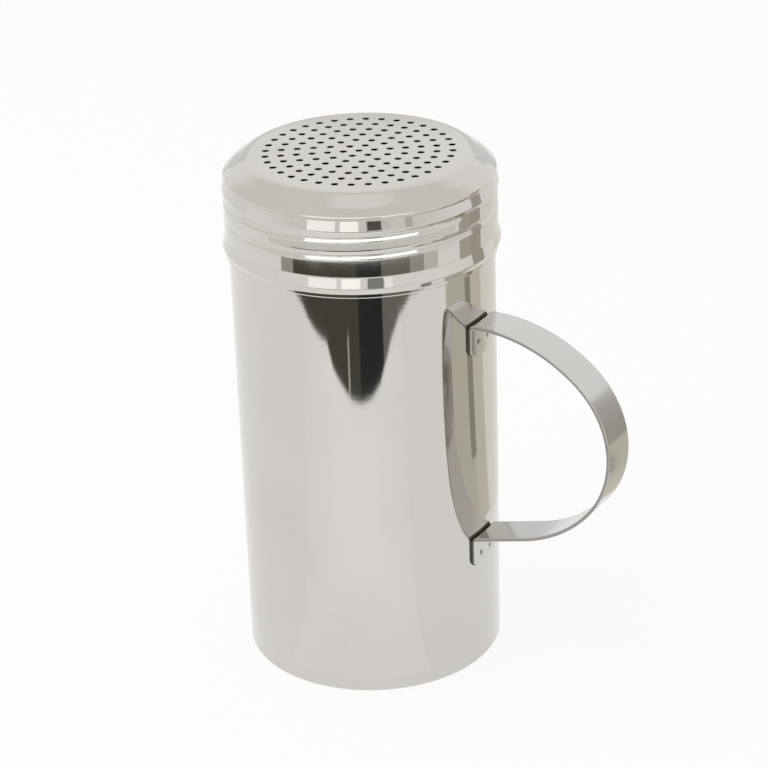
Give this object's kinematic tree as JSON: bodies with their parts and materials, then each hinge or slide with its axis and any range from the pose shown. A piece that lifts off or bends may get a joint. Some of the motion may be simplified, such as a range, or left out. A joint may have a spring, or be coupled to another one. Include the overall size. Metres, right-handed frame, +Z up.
{
  "type": "spice shaker",
  "caption": "Polished steel cup with a perforated screw-on lid and a D-shaped strap handle, for shaking dry spices, salt, flour or sugar over food",
  "frame": {"origin": "centre of the flat base, on the surface that the shaker stands on", "axes": "+Z is up along the cup's axis; +X points out through the handle; +Y is across the handle's plane of symmetry"},
  "size_m": [0.12, 0.0782, 0.1525],
  "materials": {
    "polished_steel": "bright polished stainless steel with light wipe marks",
    "satin_steel": "bright rolled stainless strip, slightly duller than the cup"
  },
  "bodies": {
    "container": {"cup": "polished_steel", "handle_strap": "satin_steel"},
    "cover": {"lid": "polished_steel"}
  },
  "joints": [
    {"name": "lid_lift", "type": "slide", "parent": "container", "child": "cover", "axis": [0, 0, 1], "range_m": [0, 0.04]}
  ]
}
